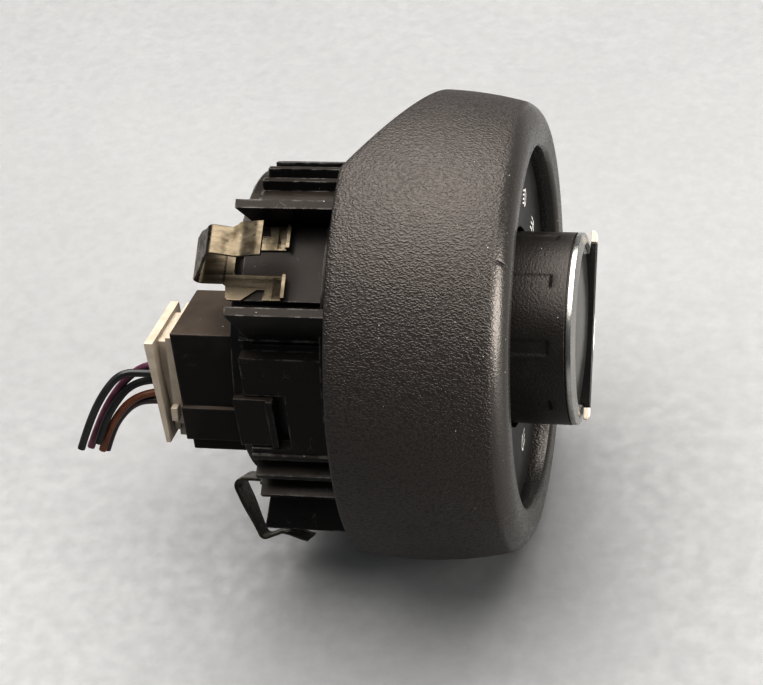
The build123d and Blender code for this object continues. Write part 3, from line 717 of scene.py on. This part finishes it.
# legs is half the base plate's outline (along, across); tail leads on from the tongue's peak
clipSet = {"angles": {"near": 61.0, "low": -54.0, "far": 184.0}, "thick": 0.5, "under": 30.0,
           "legInner": 2.4, "legOuter": 6.9, "front": -9.8, "hookRise": 1.65, "hookRadius": 0.7,
           "legs": [(-21.2, 4.0), (-20.6, 4.4), (-20.4, 6.6), (-20.0, 7.0), (-17.6, 7.0), (-14.9, 5.0),
                    (-13.3, 5.0), (-13.7, 6.9)],
           "bendX": -24.7, "bendRadius": 1.3, "tongueWide": 8.0, "tailWide": 5.3, "slope": 64.0,
           "peak": 42.5, "tail": ((4.6, -1.9), (8.2, -0.75), (9.2, -0.6)),
           "tongueRadii": [1.1, 3.0, 2.0],
           "taperFrom": 0.12, "taperRun": 0.35, "flare": 1.1, "flareFrom": 0.72, "flareRun": 0.06,
           "edge": 0.07}


# Sheet strip: its middle line (along, away) with a rectangle of softened corners carried along it, from
# -left to +right across.
def stripPoints(path, left, right, thick, soft=0.09):
    path = np.asarray(path, float)
    run = np.gradient(path, axis=0)
    run /= np.linalg.norm(run, axis=1)[:, None]
    up = np.stack([-run[:, 1], run[:, 0]], -1)
    h = thick / 2
    corners = [(-1, soft, -h), (1, -soft, -h), (1, 0, -h + soft), (1, 0, h - soft), (1, -soft, h),
               (-1, soft, h), (-1, 0, h - soft), (-1, 0, -h + soft)]
    grid = []
    for side, inset, lift in corners:
        across = (np.asarray(right) if side > 0 else -np.asarray(left)) + inset
        flat = path + up * lift
        grid.append(np.stack([flat[:, 0], flat[:, 1], np.broadcast_to(across, len(path))], -1))
    return np.stack(grid, 1)


def stripFaces(rows, cols=8, start=0):
    ends = [tuple(start + np.arange(cols)), tuple(start + (rows - 1) * cols + np.arange(cols)[::-1])]
    return [*(gridFaces(rows, cols, False, True) + start), *ends]


# (along, away, across) points at an angle round the axis; across grows with the angle.
def placeLocal(local, angle):
    return local[..., :1] * [1, 0, 0] + local[..., 1:2] * outward(angle) + local[..., 2:] * outward(angle + 90)


# Open path whose corners are replaced by arcs.
def filleted(corners, radii, count=7):
    corners = [np.asarray(c, float) for c in corners]
    path = [corners[0]]
    for before, here, after, radius in zip(corners, corners[1:], corners[2:], radii):
        a, b = before - here, after - here
        a, b = a / np.linalg.norm(a), b / np.linalg.norm(b)
        half = math.acos(np.clip(a @ b, -1, 1)) / 2
        reach = radius / math.tan(half)
        centre = here + (a + b) / np.linalg.norm(a + b) * radius / math.sin(half)
        start, end = here + a * reach, here + b * reach
        middle = centre + (here - centre) / np.linalg.norm(here - centre) * radius
        path.extend(arcThrough(start, middle, end, count))
    return np.array([*path, corners[-1]])


# Flat outline (along, across) given thickness between two distances from the axis.
def thicken(outline, low, high, angle):
    outline = np.asarray(outline, float)
    n = len(outline)
    points = np.concatenate([np.stack([outline[:, 0], np.full(n, r), outline[:, 1]], -1)
                             for r in (low, high)])
    faces = [tuple(range(n)), tuple(range(2 * n - 1, n - 1, -1))]
    faces += [(i, (i + 1) % n, n + (i + 1) % n, n + i) for i in range(n)]
    return placeLocal(points, angle), faces


def joinShapes(shapes):
    points, faces, start = [], [], 0
    for p, f in shapes:
        p = np.asarray(p).reshape(-1, 3)
        points.append(p)
        faces += [tuple(int(v) + start for v in face) for face in f]
        start += len(p)
    return np.concatenate(points), faces


# Turns one closed shape right side out by the sign of its volume.
def turnedOut(shape):
    points, faces = np.asarray(shape[0]).reshape(-1, 3), shape[1]
    volume = sum(points[f[0]] @ np.cross(points[f[k]], points[f[k + 1]])
                 for f in faces for k in range(1, len(f) - 1))
    return (points, faces if volume > 0 else [tuple(f)[::-1] for f in faces])


# Clip base: a flat plate with two legs, whose ends hook outwards, and a fold in which the strip's middle
# line turns through an arc; its tongue is the strip from the fold to the peak and down the tail, tapered
# by a smooth step of the length along it.
def buildClip(side, s):
    angle = s["angles"][side]
    middle = s["under"] + s["thick"] / 2
    half = [*s["legs"], (s["front"] - 0.6, s["legOuter"]), (s["front"] - 0.6, s["legInner"] + 0.1),
            (-19.0, s["legInner"]), (-19.4, s["legInner"] - 0.4)]
    outline = half + [(x, -w) for x, w in half[::-1]]
    plate = thicken(outline, s["under"], s["under"] + s["thick"], angle)
    foldX, foldRadius = s["bendX"], s["bendRadius"]
    turn = np.radians(np.linspace(270, s["slope"] + 90, 14))
    curl = np.stack([foldX + foldRadius * np.cos(turn),
                     middle + foldRadius + foldRadius * np.sin(turn)], -1)
    lead = np.stack([np.linspace(-20.9, foldX, 6), np.full(6, middle)], -1)[:-1]
    bend = stripPoints(np.concatenate([lead, curl]), s["tongueWide"] / 2, s["tongueWide"] / 2, s["thick"])
    shapes = [turnedOut(plate), turnedOut((placeLocal(bend, angle), stripFaces(len(bend))))]
    hook = filleted([(s["front"] - 2.2, middle), (s["front"] - 0.25, middle),
                     (s["front"] - 0.05, middle + s["hookRise"])], [s["hookRadius"]])
    for sign in (-1, 1):
        near, far = s["legInner"] + 0.15, s["legOuter"] - 0.05
        left, right = (-near, far) if sign > 0 else (far, -near)
        grid = stripPoints(hook, left, right, s["thick"])
        shapes.append(turnedOut((placeLocal(grid, angle), stripFaces(len(grid)))))
    points, faces = joinShapes(shapes)
    base = addPiece("clipBase_" + side, points, faces, finish["springSteel"], "root",
                    ["clip_base_" + side], 40)
    base.modifiers.new("softEdges", "BEVEL").width = s["edge"] * mm
    foot, slope = curl[-1], math.radians(s["slope"])
    rise = (s["peak"] - s["thick"] - foot[1]) / math.sin(slope)
    peak = foot + rise * np.array([math.cos(slope), math.sin(slope)])
    line = filleted([foot, peak, *(peak + step for step in s["tail"])], s["tongueRadii"], 9)
    walk = np.concatenate([[0], np.cumsum(np.linalg.norm(np.diff(line, axis=0), axis=1))])
    even = np.linspace(0, walk[-1], 60)
    line = np.stack([np.interp(even, walk, line[:, k]) for k in (0, 1)], -1)
    share = even / walk[-1]
    taper = np.clip((share - s["taperFrom"]) / s["taperRun"], 0, 1)
    change = s["tailWide"] / 2 - s["tongueWide"] / 2
    width = s["tongueWide"] / 2 + change * taper * taper * (3 - 2 * taper)
    flare = s["flare"] * np.clip((share - s["flareFrom"]) / s["flareRun"], 0, 1)
    grid = stripPoints(line, width, width + flare, s["thick"])
    addPiece("clipTongue_" + side, placeLocal(grid, angle).reshape(-1, 3), stripFaces(len(grid)),
             finish["springSteel"], "tongue_" + side, ["clip_tongue_" + side], 40)


for side in clipSet["angles"]:
    buildClip(side, clipSet)
print("clips bent")


markSet = {"front": 27.2, "high": 0.03, "sunk": 0.01, "distance": 24.5,
           "angles": (109, 139, 169, 199, 284), "line": 0.34, "lampHigh": 1.6, "lampDeep": 1.5,
           "lampShift": 0.4, "beamsOver": 1.2, "beamStart": -0.3, "beamEnd": -2.0, "beamSlant": 0.35}


# Flat bar from a to b, both (out, across) in millimetres from the mark's middle.
def markStroke(a, b, centreAngle, s):
    a, b = np.asarray(a, float), np.asarray(b, float)
    run = (b - a) / np.linalg.norm(b - a)
    side = np.array([-run[1], run[0]]) * s["line"] / 2
    flat = np.array([a - side, b - side, b + side, a + side]) + (s["distance"], 0)
    points = np.concatenate([np.column_stack([np.full(4, s["front"] + z), flat])
                             for z in (-s["sunk"], s["high"])])
    faces = [(0, 1, 2, 3), (7, 6, 5, 4)] + [(i, (i + 1) % 4, 4 + (i + 1) % 4, 4 + i) for i in range(4)]
    return turnedOut((placeLocal(points, centreAngle), faces))


# Each mark is a plain lamp: half a disc drawn as short strokes, with three or four beams.
def buildMarks(s):
    shapes = []
    for k, angle in enumerate(s["angles"]):
        bow = np.radians(np.linspace(-90, 90, 9))
        rim = np.stack([s["lampHigh"] * np.sin(bow), s["lampShift"] + s["lampDeep"] * np.cos(bow)], -1)
        strokes = [*zip(rim, rim[1:]), (rim[-1], rim[0])]
        beams = np.linspace(-s["beamsOver"], s["beamsOver"], 3 + k % 2)
        strokes += [((b, s["beamStart"]), (b - s["beamSlant"] * (k % 3), s["beamEnd"])) for b in beams]
        shapes += [markStroke(p, q, angle, s) for p, q in strokes]
    points, faces = joinShapes(shapes)
    addPiece("plateMarks", points, faces, finish["markWhite"], "root")


buildMarks(markSet)
print("marks printed")


formSet = {
    "switch_housing": ("housingBlack", "root", "housing_black", 0.16),
    "rear_cover": ("housingBlack", "root", "housing_black", 0.2),
    "connector_shroud": ("shroudBlack", "root", "housing_black", 0.28),
    "cover_latch": ("housingBlack", "root", "housing_black", 0.2),
    "plug_housing": ("plugCream", "plug", "plug_cream", 0.14),
    "plug_lock": ("plugCream", "plug", "plug_cream", 0.15),
    "face_plate": ("plateBlack", "root", "plate_black", 0.15),
    "cover_screws": ("zincSteel", "root", "zinc_steel", 0.15),
}
for nodeName, (look, body, slotName, edge) in formSet.items():
    softened(nodeName, finish[look], body, edge)
print("mouldings rounded")

keptLook = {"circuit_board": "boardGreen", "indicator_leds": "ledWhite", "light_guides": "clearAcrylic",
            "terminal_pins": "tinnedBrass", "plug_terminals": "tinnedBrass", "detent_plunger": "zincSteel",
            "detent_spring": "zincSteel", "rotor_hub": "naturalNylon", "rotor_circlip": "zincSteel",
            "detent_drum": "naturalNylon", "contact_wipers": "tinnedBrass", "knob_shaft": "naturalNylon",
            "shaft_clip": "zincSteel"}
for nodeName, look in keptLook.items():
    part = cadNodes[nodeName]
    if not part.material_slots:
        part.data.materials.append(None)
    for holder in part.material_slots:
        holder.link = "OBJECT"
        holder.material = finish[look]
print("inner parts finished")


stageSet = {"floor": (0.212, 0.213, 0.2145), "darker": 0.93, "drop": 0.00005, "wide": 3.0,
            "overhead": {"size": 1.75, "watts": 68.0, "at": (-0.04, 0.27, 1.05),
                         "tint": (1.0, 0.975, 0.945)},
            "fill": {"size": 0.9, "watts": 2.5, "at": (-0.9, -0.6, 0.9), "tint": (0.95, 0.97, 1.0)},
            "window": {"size": 0.7, "watts": 22.0, "at": (1.10, -0.25, 0.36), "tint": (1.0, 0.98, 0.95)},
            "sky": (0.86, 0.93, 1.0), "skyPower": 0.22}


# Square area light that faces the switch.
def addLight(name, s):
    data = bpy.data.lights.new(name, "AREA")
    data.shape, data.size = "SQUARE", s["size"]
    data.energy, data.color = s["watts"], s["tint"]
    lamp = bpy.data.objects.new(name, data)
    lamp.location = s["at"]
    lamp.rotation_euler = (-Vector(s["at"])).to_track_quat("-Z", "Y").to_euler()
    scene.collection.objects.link(lamp)


def buildStage(s):
    made, t, shader, place = newFinish("floorPale", Specular_IOR_Level=0.35)
    cloudy = noise(t, place, 9.0, 6.0, 0.6)
    fine = noise(t, place, 420.0, 3.0, 0.6)
    mottle = math2(t, "ADD", math2(t, "MULTIPLY", cloudy, 0.5), math2(t, "MULTIPLY", fine, 0.5))
    dark = tuple(c * s["darker"] for c in s["floor"])
    colour = blendColours(t, ramp(t, mottle, 0.35, 0.65), dark, s["floor"])
    feed(t, shader, Base_Color=colour, Roughness=ramp(t, noise(t, place, 300.0), 0.3, 0.7, 0.35, 0.55),
         Normal=bump(t, noise(t, place, 260.0, 4.0), 0.0002, 0.5))
    low = cadLow.z - s["drop"]
    h = s["wide"] / 2
    mesh = bpy.data.meshes.new("floor")
    mesh.from_pydata([(-h, -h, low), (h, -h, low), (h, h, low), (-h, h, low)], [], [(0, 1, 2, 3)])
    mesh.materials.append(made)
    floor = bpy.data.objects.new("floor", mesh)
    scene.collection.objects.link(floor)
    for name in ("overhead", "fill", "window"):
        addLight(name + "Light", s[name])
    world = bpy.data.worlds.new("softSky")
    world.use_nodes = True
    sky = world.node_tree.nodes["Background"].inputs
    sky[0].default_value, sky[1].default_value = (*s["sky"], 1), s["skyPower"]
    scene.world = world


buildStage(stageSet)
print("stage lit")
